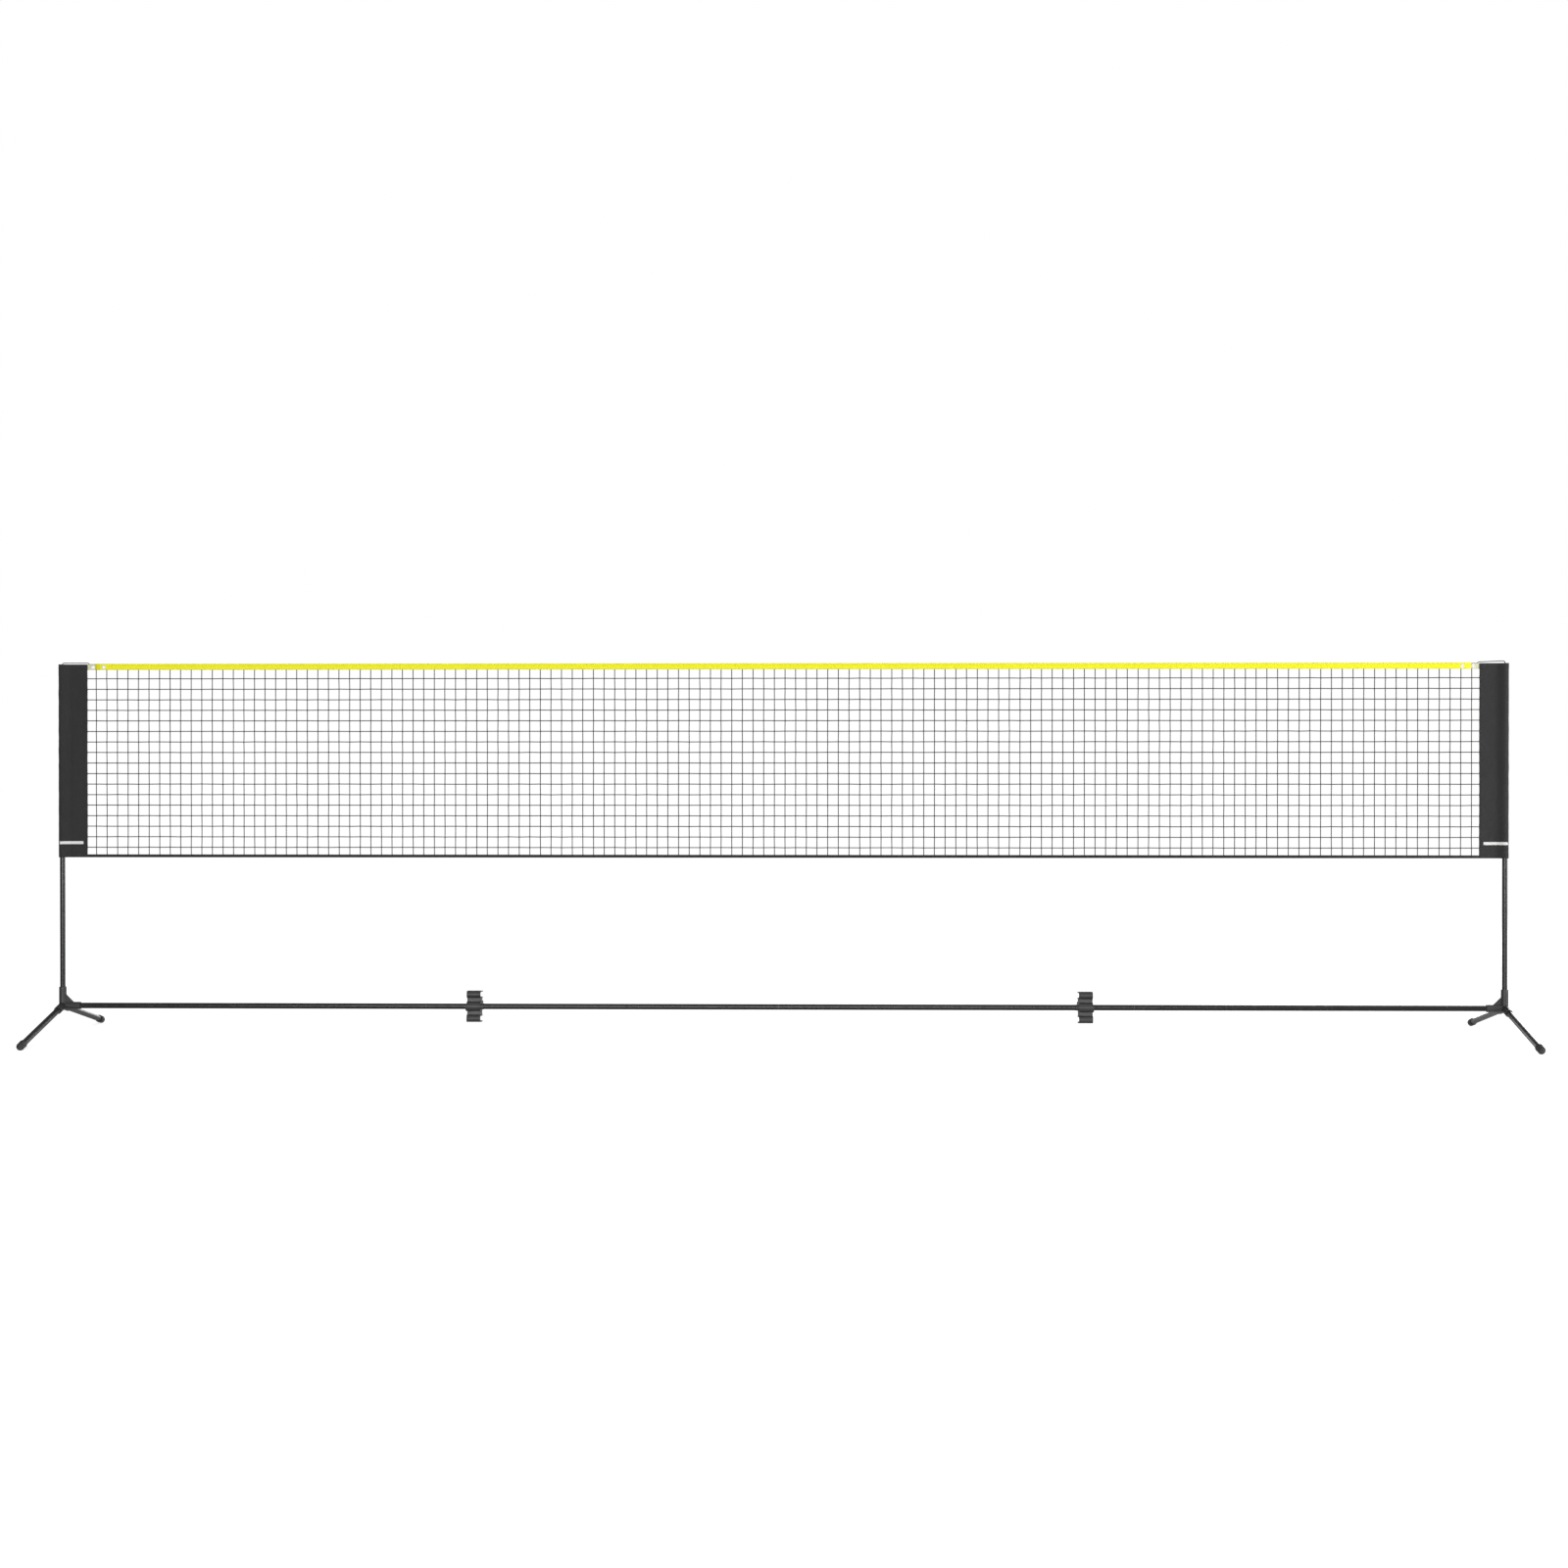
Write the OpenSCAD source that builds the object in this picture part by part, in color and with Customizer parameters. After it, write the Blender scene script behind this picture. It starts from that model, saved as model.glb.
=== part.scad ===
// Portable court net: a knotted net between two telescoping posts on a tube base.
// +X runs along the net, +Y from the front to the back, +Z up; the origin is on the floor, mid net.

/* [Overall] */
// Distance between the two post axes
post_spacing = 6070; // [5600:10:6500]
// Height of the sleeves' top edges at the tallest setting
net_top = 1573; // [1530:1:1600]
// Height of the rail's and the hubs' centre line
hub_z = 129; // [115:1:145]
// Distance from the net plane to the centre of each foot
leg_reach = 540; // [450:5:600]

/* [Net] */
// Height of the sleeves, from hem to top edge
sleeve_h = 816; // [780:1:830]
// Width of a sleeve inward of the post axis
sleeve_w = 107.5; // [90:0.5:125]
// Outer radius of the pocket round the post
pocket_r = 14.8; // [14.5:0.1:17]
// Height of the head tape
tape_h = 26; // [20:1:35]
// How far the head tape stands above the sleeves
tape_rise = 2.5; // [0:0.5:4]
// Where the coloured tape ends, inward of the post axis
tape_end = 141; // [141:1:145]
// Height of the foot tape
hem_h = 12.4; // [8:0.2:20]
// Thickness of the folded tapes and of the sleeves' flat part
cloth_t = 2.4; // [1.6:0.2:3]
// Thickness of the slab that stands for the knotted mesh
mesh_t = 1; // [0.6:0.1:2]
// Distance of the outer eyelets, in the pale ends, inward of the post axis
eyelet_x = 132; // [127:1:132]
// Distance between the two eyelets at an end
eyelet_pitch = 45; // [28:1:60]
// Radius of an eyelet's flange
eyelet_r = 8.2; // [6:0.1:8.2]
// Radius of the head cord and the tie cords
cord_r = 1.9; // [1:0.1:2]

/* [Tubes] */
// Wall of every tube
wall = 1.2; // [0.8:0.1:1.5]
// Outer radius of the lower post tubes
lower_r = 11; // [10.8:0.1:11.2]
// Outer radius of the upper post tubes
upper_r = 9.5; // [9.2:0.1:9.5]
// Outer radius of the floor rail
rail_r = 12; // [11.8:0.1:12.2]
// Outer radius of the leg tubes
leg_r = 12.5; // [12:0.1:12.6]
// Top of the lower post tubes
lower_top = 845; // [830:1:860]
// Bottom of the upper post tubes at the tallest setting
upper_bottom = 712; // [710:1:720]
// Top of the upper post tubes at the tallest setting
upper_top = 1555; // [1540:1:1558]
// Distance from the middle to the two outer rail joints
rail_joint_x = 1490; // [1400:10:1600]

/* [Hubs and feet] */
// Outer radius of the post and rail sockets
socket_r = 15.5; // [15:0.1:16]
// Outer radius of the leg sockets
leg_socket_r = 16.2; // [15.8:0.1:16.5]
// Length of the post socket from the hub's centre
post_socket = 79; // [70:1:90]
// Length of the rail socket from the hub's centre
rail_socket = 76; // [70:1:90]
// Length of the leg sockets from the hub's centre
leg_socket = 70; // [65:1:80]
// Where the triangular web meets the post and the rail, from the hub's centre
web_reach = 62; // [55:1:70]
// Thickness of the triangular web
web_t = 8; // [5:1:12]
// Radius of the foot caps and their domes
foot_r = 16; // [15.5:0.1:17]
// Length of a foot cap's straight part
foot_len = 34; // [28:1:40]

/* [Height setting] */
// Height of the snap buttons at the tallest setting
button_z = 775; // [770:1:780]
// Distance between height holes
hole_pitch = 85; // [80:1:86]
// Number of height holes in each lower post
hole_count = 7; // [3:1:7]

/* [Pole clips] */
// Distance from the middle to each clip
clip_x = 1288; // [1100:1:1400]
// Length of a clip along the rail
clip_w = 59; // [50:1:75]
// How far the clips hang down at the back, in degrees
clip_droop = 4; // [0:1:10]
// Distance from the rail's axis to each cradle's axis
clip_pitch = 50.5; // [48:0.5:55]
// Tubes that each cradle holds, one behind another
cradle_seats = 3; // [1:1:3]
// Inner radius of a cradle's seats, which is the carried tubes'
cradle_r = 11; // [10:0.5:12]
// Outer radius of a cradle's round front
cradle_outer_r = 15.5; // [14:0.5:17]
// Outer radius of the ring round the rail
ring_r = 20; // [17:0.5:22]

/* [Hidden] */
$fn = 64;

LEFT = -1;
RIGHT = 1;
FRONT = -1;
REAR = 1;
eps = 0.01;
half_span = post_spacing / 2;

// Radial play between a tube and what it slides into
play = 0.15;
// Blind bores start this far from the hub's centre
core = 16;
core_r = 17.5;
// A tube stops this far short of the bore's floor
seat_gap = 1;

// Legs: the foot's round centre stands a little low, so that its underside is cut flat
foot_flat = 0.6;
foot_drop = hub_z - (foot_r - foot_flat);
leg_tilt = atan(foot_drop / leg_reach);
leg_run = leg_reach / cos(leg_tilt);
foot_lip = 0.6;
foot_floor = 2;

// Snap buttons
pin_r = 3;
pin_hole_r = 3.3;
pin_flange_r = 4;
pin_flange_t = 1;
pin_chamfer = 0.9;
pin_stand = 1.6;
spring_t = 0.6;
spring_w = 7;
spring_reach = 38;
short_reach = 26;
leg_button_t = 46;
socket_button_t = 46;
rail_button_t = 50;
joint_button_t = 30;

// Rail joints
joiner_r = rail_r - wall - 0.2;
joiner_half = 60;
joint_gap = 0.2;
joints_x = [-rail_joint_x, 0, rail_joint_x];
rail_end_x = half_span - core - seat_gap;

// Upper post fittings
collar_r = 13.2;
collar_skirt = 25;
collar_lip = 7;
glide_t = 3;
glide_stem = 12;
cap_r = 11.5;
cap_skirt = 15;
cap_top = 11;
cap_hole_r = 2.4;
cap_shell = 2;

// Net
tape_bottom = net_top + tape_rise - tape_h;
tape_top = net_top + tape_rise;
channel_r = cord_r + 0.3;
fold_r = channel_r + 0.7;
channel_z = tape_top - fold_r;
sleeve_bottom = net_top - sleeve_h;
fabric = 1;
clear = 0.3;
eyelet_bore_r = 5;
eyelet_wall = 0.5;
eyelet_z = tape_bottom + 11.5;
net_half = half_span - sleeve_w - clear;

// Tie cord routes, as distance inward of the post axis and height; the first three points are the knot
knot_z = upper_top + 1;
bend_x = sleeve_w + cord_r + clear;
cord_sides = 10;
left_route = [
    [0, knot_z], [0, knot_z + 2], [0, knot_z + 5],
    [0, 1578.5], [bend_x, 1578.5], [bend_x, channel_z], [tape_end, channel_z]
];
right_route = [
    [0, knot_z], [0, knot_z + 2], [0, knot_z + 5],
    [0, 1574], [8, 1582.5], [bend_x, 1579], [bend_x, channel_z], [tape_end, channel_z]
];

// Clip
clip_play = 0.1;
seat_pitch = 2 * cradle_r + 0.4;
cradle_arm = (cradle_seats - 1) * seat_pitch + 10;
cradle_mouth = 19.2;
plate_y = 4;
rib_t = 4;
rib_end = 46;
neck_r = rail_r + 1.2;
neck_len = 12;
tab_w = 4;
tab_d = 8;
tab_z = 13;
tab_h = 10;

BLACK = [0.13, 0.13, 0.14];
PLASTIC = [0.2, 0.2, 0.21];
CLOTH = [0.23, 0.23, 0.24];
YELLOW = [0.95, 0.95, 0.15];
CREAM = [0.9, 0.9, 0.78];
STEEL = [0.75, 0.76, 0.78];

// Places children, drawn for the left end with +X inward, at either end of the net
module at_end(side) {
    if (side == LEFT)
        translate([-half_span, 0, 0]) children();
    else
        mirror([1, 0, 0]) translate([-half_span, 0, 0]) children();
}

// Children's +Z runs from the hub's centre down a leg, and their +Y points up
module along_leg(end) {
    translate([0, 0, hub_z])
        mirror([0, end == REAR ? 1 : 0, 0])
            rotate([90 + leg_tilt, 0, 0]) children();
}

// Children's +Z runs from the hub's centre inward along the rail
module along_rail() {
    translate([0, 0, hub_z]) rotate([0, 90, 0]) children();
}

module tube(outer, inner, from, to) {
    translate([0, 0, from]) difference() {
        cylinder(r = outer, h = to - from);
        translate([0, 0, -1]) cylinder(r = inner, h = to - from + 2);
    }
}

// A round hole through one wall, towards +Y, for a tube along Z
module pin_hole(at) {
    translate([0, 0, at]) rotate([-90, 0, 0]) cylinder(r = pin_hole_r, h = 3 * socket_r);
}

function flange_top(inner) = sqrt(inner * inner - pin_flange_r * pin_flange_r) - 0.25;
function arm_top(inner) = flange_top(inner) - pin_flange_t - 0.05;
function arm_bottom(inner) = sqrt(inner * inner - spring_w * spring_w / 4) - 0.1;

// Snap button in a tube along Z: a flange inside the wall and a round pin through it towards +Y
module snap_button(inner, top, at) {
    base = flange_top(inner) - pin_flange_t;
    translate([0, 0, at]) rotate([-90, 0, 0]) rotate_extrude() polygon([
        [0, base], [pin_flange_r, base], [pin_flange_r, flange_top(inner)],
        [pin_r, flange_top(inner)], [pin_r, top - pin_chamfer], [pin_r - pin_chamfer, top], [0, top]
    ]);
}

// V-shaped leaf spring in a tube along Z, one arm under the button, the bend towards +Z
module leaf_spring(inner, at, reach) {
    up = arm_top(inner);
    down = -arm_bottom(inner);
    seat = pin_flange_r + 2;
    translate([0, 0, at]) rotate([0, -90, 0]) linear_extrude(spring_w, center = true) polygon([
        [-seat, up], [seat, up], [reach, spring_t], [reach, -spring_t], [seat, down], [-seat, down],
        [-seat, down + spring_t], [seat, down + spring_t],
        [reach - 2 * spring_t, 0], [seat, up - spring_t], [-seat, up - spring_t]
    ]);
}

module hub() {
    difference() {
        union() {
            translate([0, 0, hub_z]) sphere(r = core_r);
            translate([0, 0, hub_z]) cylinder(r = socket_r, h = post_socket);
            along_rail() cylinder(r = socket_r, h = rail_socket);
            for (end = [FRONT, REAR])
                along_leg(end) cylinder(r = leg_socket_r, h = leg_socket);
            translate([0, web_t / 2, hub_z]) rotate([90, 0, 0]) linear_extrude(web_t)
                polygon([[0, 0], [web_reach, 0], [0, web_reach]]);
        }
        translate([0, 0, hub_z + core - 2]) cylinder(r = lower_r + play, h = post_socket);
        along_rail() translate([0, 0, core]) cylinder(r = rail_r + play, h = rail_socket);
        for (end = [FRONT, REAR])
            along_leg(end) translate([0, 0, core]) cylinder(r = leg_r + play, h = leg_socket);
        translate([0, 0, hub_z]) pin_hole(socket_button_t);
        along_rail() pin_hole(rail_button_t);
        for (end = [FRONT, REAR])
            along_leg(end) rotate([0, 0, 90]) pin_hole(leg_button_t);
    }
}

module leg() {
    difference() {
        tube(leg_r, leg_r - wall, core + seat_gap, leg_run - foot_floor - seat_gap);
        rotate([0, 0, 90]) pin_hole(leg_button_t);
    }
}

module foot(end) {
    difference() {
        along_leg(end) difference() {
            union() {
                translate([0, 0, leg_run - foot_len]) cylinder(r = foot_r, h = foot_len);
                translate([0, 0, leg_run - foot_len]) cylinder(r = foot_r + foot_lip, h = 4);
                translate([0, 0, leg_run]) sphere(r = foot_r);
            }
            translate([0, 0, leg_run - foot_len - 1])
                cylinder(r = leg_r + play, h = foot_len + 1 - foot_floor);
        }
        translate([-100, -2 * leg_reach, -100]) cube([200, 4 * leg_reach, 100]);
    }
}

module lower_post() {
    difference() {
        tube(lower_r, lower_r - wall, hub_z + core - 2 + seat_gap, lower_top);
        pin_hole(hub_z + socket_button_t);
        for (i = [0 : hole_count - 1])
            pin_hole(button_z - i * hole_pitch);
    }
}

module post_collar() {
    difference() {
        translate([0, 0, lower_top - collar_skirt]) cylinder(r = collar_r, h = collar_skirt + collar_lip);
        translate([0, 0, lower_top - collar_skirt - 1]) cylinder(r = lower_r + 0.1, h = collar_skirt + 1);
        translate([0, 0, lower_top - 1]) cylinder(r = upper_r + play, h = collar_lip + 2);
    }
}

module upper_post() {
    difference() {
        tube(upper_r, upper_r - wall, upper_bottom, upper_top);
        pin_hole(button_z);
    }
}

module post_glide() {
    inner = upper_r - wall;
    difference() {
        union() {
            translate([0, 0, upper_bottom - glide_t]) cylinder(r = lower_r - wall - play, h = glide_t);
            translate([0, 0, upper_bottom - eps]) cylinder(r = inner - 0.1, h = glide_stem);
        }
        translate([0, 0, upper_bottom - glide_t - 1]) cylinder(r = inner - 3, h = glide_stem + glide_t + 2);
    }
}

module post_cap() {
    difference() {
        union() {
            translate([0, 0, upper_top - cap_skirt]) cylinder(r = cap_r, h = cap_skirt + cap_top - 4);
            translate([0, 0, upper_top + cap_top - 4 - eps]) cylinder(r1 = cap_r, r2 = cap_r - 4, h = 4);
        }
        translate([0, 0, upper_top - cap_skirt - 1]) cylinder(r = upper_r + play, h = cap_skirt + 1 + clear);
        translate([0, 0, upper_top]) cylinder(r = upper_r - wall, h = cap_top - cap_shell);
        translate([0, 0, upper_top]) cylinder(r = cap_hole_r, h = cap_top + 1);
    }
}

// Rail tube between two distances from the middle, with pin holes at the given places
module rail_tube(from, to, holes) {
    translate([0, 0, hub_z]) rotate([0, 90, 0]) difference() {
        tube(rail_r, rail_r - wall, from + joint_gap, to - joint_gap);
        for (x = holes)
            pin_hole(x);
    }
}

module joiner_holes(x) {
    translate([0, 0, hub_z]) rotate([0, 90, 0]) difference() {
        tube(joiner_r, joiner_r - wall, x - joiner_half, x + joiner_half);
        pin_hole(x + joint_button_t);
    }
}

module cradle(height) {
    translate([0, height]) difference() {
        union() {
            circle(r = cradle_outer_r);
            translate([0, -cradle_outer_r]) square([cradle_arm, 2 * cradle_outer_r]);
            for (lip = [-1, 1])
                translate([cradle_arm, lip * (cradle_outer_r + cradle_mouth / 2) / 2])
                    circle(d = cradle_outer_r - cradle_mouth / 2);
        }
        for (seat = [0 : cradle_seats - 1])
            translate([seat * seat_pitch, 0]) circle(r = cradle_r);
        translate([0, -cradle_mouth / 2]) square([2 * cradle_arm, cradle_mouth]);
    }
}

// Extrudes a profile of depth and height along the rail between two places
module along_clip(from, to) {
    translate([from, 0, 0]) rotate([90, 0, 90]) linear_extrude(to - from) children();
}

// Clip drawn with +X inward along the rail; its cradles open towards +Y
module pole_clip() {
    half_w = clip_w / 2;
    web_h = clip_pitch - cradle_outer_r + 1;
    translate([0, 0, hub_z]) rotate([-clip_droop, 0, 0]) difference() {
        union() {
            along_clip(-half_w, half_w) {
                cradle(clip_pitch);
                cradle(-clip_pitch);
                circle(r = ring_r);
                translate([plate_y, -web_h]) square([rib_t, 2 * web_h]);
            }
            for (x = [-half_w, -rib_t / 2, half_w - rib_t])
                along_clip(x, x + rib_t)
                    translate([plate_y, -web_h]) square([rib_end - plate_y, 2 * web_h]);
            along_clip(0, half_w + neck_len) circle(r = neck_r);
            along_clip(-half_w - tab_w, eps - half_w) intersection() {
                circle(r = ring_r);
                translate([-ring_r, -ring_r]) square([ring_r, ring_r]);
            }
            translate([half_w - eps, rib_end - tab_d, tab_z]) cube([tab_w + eps, tab_d, tab_h]);
        }
        along_clip(-clip_w, clip_w) circle(r = rail_r + clip_play);
    }
}

module sleeve() {
    translate([0, 0, sleeve_bottom]) linear_extrude(sleeve_h) difference() {
        union() {
            circle(r = pocket_r);
            translate([0, -cloth_t / 2]) square([sleeve_w, cloth_t]);
        }
        circle(r = pocket_r - fabric);
    }
}

// Folded tape along X with a round channel for the cord in its top fold
module folded_tape(from, to, bottom) {
    translate([from, 0, 0]) rotate([90, 0, 90]) linear_extrude(to - from) difference() {
        union() {
            translate([-cloth_t / 2, bottom]) square([cloth_t, channel_z - bottom]);
            translate([0, channel_z]) circle(r = fold_r);
        }
        translate([0, channel_z]) circle(r = channel_r);
    }
}

module at_eyelets() {
    for (side = [LEFT, RIGHT], x = [eyelet_x, eyelet_x + eyelet_pitch])
        at_end(side) translate([x, 0, eyelet_z]) rotate([90, 0, 0]) children();
}

module eyelet() {
    reach = cloth_t / 2 + eyelet_wall;
    rotate_extrude() polygon([
        [eyelet_bore_r, -reach], [eyelet_r, -reach], [eyelet_r, -cloth_t / 2],
        [eyelet_bore_r + eyelet_wall, -cloth_t / 2], [eyelet_bore_r + eyelet_wall, cloth_t / 2],
        [eyelet_r, cloth_t / 2], [eyelet_r, reach], [eyelet_bore_r, reach]
    ]);
}

function unit(v) = v / norm(v);
function step_in(route, i) = unit(i == 0 ? route[1] - route[0] : route[i] - route[i - 1]);
function step_out(route, i) = unit(i == len(route) - 1 ? route[i] - route[i - 1] : route[i + 1] - route[i]);
function heading(route, i) = unit(step_in(route, i) + step_out(route, i));
function mitre(route, i) = 1 / (heading(route, i) * step_in(route, i));
function knot_scale(i) = i == 0 ? 0.8 : i == 1 ? 1.8 : 1;

// One ring of a cord's surface, square to the route and as wide as its mitred corner asks
function cord_ring(route, i) = let(t = heading(route, i), m = mitre(route, i), r = cord_r * knot_scale(i)) [
    for (k = [0 : cord_sides - 1])
        let(across = r * m * cos(360 * k / cord_sides), deep = r * sin(360 * k / cord_sides))
            [route[i].x + t.y * across, deep, route[i].y - t.x * across]
];

// Cord in the net's plane through points given as distance inward and height; it starts with a knot
module cord(route) {
    rings = len(route);
    n = cord_sides;
    polyhedron(
        points = [for (i = [0 : rings - 1]) each cord_ring(route, i)],
        faces = concat(
            [[for (k = [0 : n - 1]) k]],
            [for (i = [0 : rings - 2], k = [0 : n - 1])
                [i * n + k, (i + 1) * n + k, i * n + (k + 1) % n]],
            [for (i = [0 : rings - 2], k = [0 : n - 1])
                [i * n + (k + 1) % n, (i + 1) * n + k, (i + 1) * n + (k + 1) % n]],
            [[for (k = [n - 1 : -1 : 0]) (rings - 1) * n + k]]
        )
    );
}

module left_hub() {
    color(PLASTIC) at_end(LEFT) hub();
}

module right_hub() {
    color(PLASTIC) at_end(RIGHT) hub();
}

module placed_leg(side, end) {
    color(BLACK) at_end(side) along_leg(end) leg();
}

module placed_foot(side, end) {
    color(PLASTIC) at_end(side) foot(end);
}

module placed_lower_post(side) {
    color(BLACK) at_end(side) lower_post();
}

module placed_collar(side) {
    color(PLASTIC) at_end(side) post_collar();
}

module placed_upper_post(side) {
    color(BLACK) at_end(side) upper_post();
}

module placed_cap(side) {
    color(PLASTIC) at_end(side) post_cap();
}

module placed_glide(side) {
    color(PLASTIC) at_end(side) post_glide();
}

module rail_left_outer() {
    color(BLACK) rail_tube(-rail_end_x, -rail_joint_x, [-half_span + rail_button_t]);
}

module rail_left_inner() {
    color(BLACK) rail_tube(-rail_joint_x, 0, [-rail_joint_x + joint_button_t]);
}

module rail_right_inner() {
    color(BLACK) rail_tube(0, rail_joint_x, [joint_button_t]);
}

module rail_right_outer() {
    color(BLACK) rail_tube(rail_joint_x, rail_end_x, [rail_joint_x + joint_button_t, half_span - rail_button_t]);
}

module rail_joiners() {
    color(STEEL) for (x = joints_x)
        joiner_holes(x);
}

module placed_clip(side) {
    color(PLASTIC) at_end(side) translate([half_span - clip_x, 0, 0]) pole_clip();
}

module placed_height_button(side) {
    color(STEEL) at_end(side) snap_button(upper_r - wall, lower_r + pin_stand, button_z);
}

module placed_leg_button(side, end) {
    color(STEEL) at_end(side) along_leg(end) rotate([0, 0, 90])
        snap_button(leg_r - wall, leg_socket_r + pin_stand, leg_button_t);
}

module placed_socket_button(side) {
    color(STEEL) at_end(side)
        snap_button(lower_r - wall, socket_r + pin_stand, hub_z + socket_button_t);
}

module placed_rail_button(side) {
    color(STEEL) at_end(side) along_rail()
        snap_button(rail_r - wall, socket_r + pin_stand, rail_button_t);
}

module placed_joint_button(x) {
    color(STEEL) translate([x, 0, 0]) along_rail()
        snap_button(joiner_r - wall, rail_r + pin_stand, joint_button_t);
}

module height_springs() {
    color(STEEL) for (side = [LEFT, RIGHT])
        at_end(side) translate([0, 0, button_z]) mirror([0, 0, 1])
            leaf_spring(upper_r - wall, 0, spring_reach);
}

module leg_springs() {
    color(STEEL) for (side = [LEFT, RIGHT], end = [FRONT, REAR])
        at_end(side) along_leg(end) rotate([0, 0, 90]) leaf_spring(leg_r - wall, leg_button_t, spring_reach);
}

module socket_springs() {
    color(STEEL) for (side = [LEFT, RIGHT])
        at_end(side) translate([0, 0, hub_z + socket_button_t]) mirror([0, 0, 1])
            leaf_spring(lower_r - wall, 0, short_reach);
}

module rail_springs() {
    color(STEEL) for (side = [LEFT, RIGHT])
        at_end(side) along_rail() leaf_spring(rail_r - wall, rail_button_t, spring_reach);
}

module joint_springs() {
    color(STEEL) for (x = joints_x)
        translate([x, 0, 0]) along_rail() leaf_spring(joiner_r - wall, joint_button_t, short_reach);
}

module net_mesh() {
    color(BLACK) translate([-net_half, -mesh_t / 2, sleeve_bottom + hem_h + clear])
        cube([2 * net_half, mesh_t, tape_bottom - clear - (sleeve_bottom + hem_h + clear)]);
}

module head_tape() {
    color(YELLOW) difference() {
        folded_tape(-half_span + tape_end, half_span - tape_end, tape_bottom);
        at_eyelets() cylinder(r = eyelet_bore_r + eyelet_wall, h = 4 * cloth_t, center = true);
    }
}

module head_cord() {
    reach = half_span - tape_end - clear;
    color(BLACK) translate([-reach, 0, channel_z]) rotate([0, 90, 0]) cylinder(r = cord_r, h = 2 * reach);
}

module tape_tabs() {
    color(CREAM) difference() {
        for (side = [LEFT, RIGHT])
            at_end(side) difference() {
                folded_tape(sleeve_w + clear, tape_end - clear, tape_bottom);
                translate([sleeve_w, -fold_r - 1, channel_z - channel_r])
                    cube([cord_r + bend_x - sleeve_w + clear, 2 * fold_r + 2, 4 * fold_r]);
            }
        at_eyelets() cylinder(r = eyelet_bore_r + eyelet_wall, h = 4 * cloth_t, center = true);
    }
}

module eyelets() {
    color(STEEL) at_eyelets() eyelet();
}

module foot_tape() {
    color(BLACK) translate([-net_half, -cloth_t / 2, sleeve_bottom]) cube([2 * net_half, cloth_t, hem_h]);
}

module placed_sleeve(side) {
    color(CLOTH) at_end(side) sleeve();
}

module placed_tie_cord(side, route) {
    color(BLACK) at_end(side) cord(route);
}

left_hub();
right_hub();
placed_leg(LEFT, FRONT);  // left_front_leg
placed_leg(LEFT, REAR);  // left_rear_leg
placed_leg(RIGHT, FRONT);  // right_front_leg
placed_leg(RIGHT, REAR);  // right_rear_leg
placed_foot(LEFT, FRONT);  // left_front_foot
placed_foot(LEFT, REAR);  // left_rear_foot
placed_foot(RIGHT, FRONT);  // right_front_foot
placed_foot(RIGHT, REAR);  // right_rear_foot
placed_lower_post(LEFT);  // left_lower_post
placed_lower_post(RIGHT);  // right_lower_post
placed_collar(LEFT);  // left_post_collar
placed_collar(RIGHT);  // right_post_collar
placed_upper_post(LEFT);  // left_upper_post
placed_upper_post(RIGHT);  // right_upper_post
placed_cap(LEFT);  // left_post_cap
placed_cap(RIGHT);  // right_post_cap
placed_glide(LEFT);  // left_post_glide
placed_glide(RIGHT);  // right_post_glide
rail_left_outer();
rail_left_inner();
rail_right_inner();
rail_right_outer();
rail_joiners();
placed_clip(LEFT);  // left_pole_clip
placed_clip(RIGHT);  // right_pole_clip
placed_height_button(LEFT);  // left_height_button
placed_height_button(RIGHT);  // right_height_button
placed_leg_button(LEFT, FRONT);  // left_front_leg_button
placed_leg_button(LEFT, REAR);  // left_rear_leg_button
placed_leg_button(RIGHT, FRONT);  // right_front_leg_button
placed_leg_button(RIGHT, REAR);  // right_rear_leg_button
placed_socket_button(LEFT);  // left_socket_button
placed_socket_button(RIGHT);  // right_socket_button
placed_rail_button(LEFT);  // left_rail_button
placed_rail_button(RIGHT);  // right_rail_button
placed_joint_button(-rail_joint_x);  // left_joint_button
placed_joint_button(0);  // centre_joint_button
placed_joint_button(rail_joint_x);  // right_joint_button
height_springs();
leg_springs();
socket_springs();
rail_springs();
joint_springs();
net_mesh();
head_tape();
head_cord();
tape_tabs();
eyelets();
foot_tape();
placed_sleeve(LEFT);  // left_sleeve
placed_sleeve(RIGHT);  // right_sleeve
placed_tie_cord(LEFT, left_route);  // left_tie_cord
placed_tie_cord(RIGHT, right_route);  // right_tie_cord
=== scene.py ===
"""Looks for a portable court net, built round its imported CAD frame, in metres: +X along the net, +Z up."""

import math

import bpy
import numpy as np
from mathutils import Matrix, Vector

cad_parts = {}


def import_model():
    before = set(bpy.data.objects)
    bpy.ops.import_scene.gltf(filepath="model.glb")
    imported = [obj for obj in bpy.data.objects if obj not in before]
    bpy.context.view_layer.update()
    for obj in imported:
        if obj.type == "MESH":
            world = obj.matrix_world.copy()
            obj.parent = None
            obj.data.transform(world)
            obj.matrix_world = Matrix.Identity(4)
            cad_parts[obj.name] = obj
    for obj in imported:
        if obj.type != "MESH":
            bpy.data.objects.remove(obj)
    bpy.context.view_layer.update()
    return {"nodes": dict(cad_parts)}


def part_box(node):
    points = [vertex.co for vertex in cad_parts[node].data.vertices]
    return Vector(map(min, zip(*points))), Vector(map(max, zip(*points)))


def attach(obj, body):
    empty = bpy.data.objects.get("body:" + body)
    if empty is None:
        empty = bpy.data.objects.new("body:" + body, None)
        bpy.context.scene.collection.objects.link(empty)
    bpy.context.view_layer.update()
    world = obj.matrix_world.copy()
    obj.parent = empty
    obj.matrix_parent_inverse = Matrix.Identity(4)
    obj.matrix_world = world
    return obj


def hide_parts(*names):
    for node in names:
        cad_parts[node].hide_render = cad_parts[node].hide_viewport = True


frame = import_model()

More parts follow.
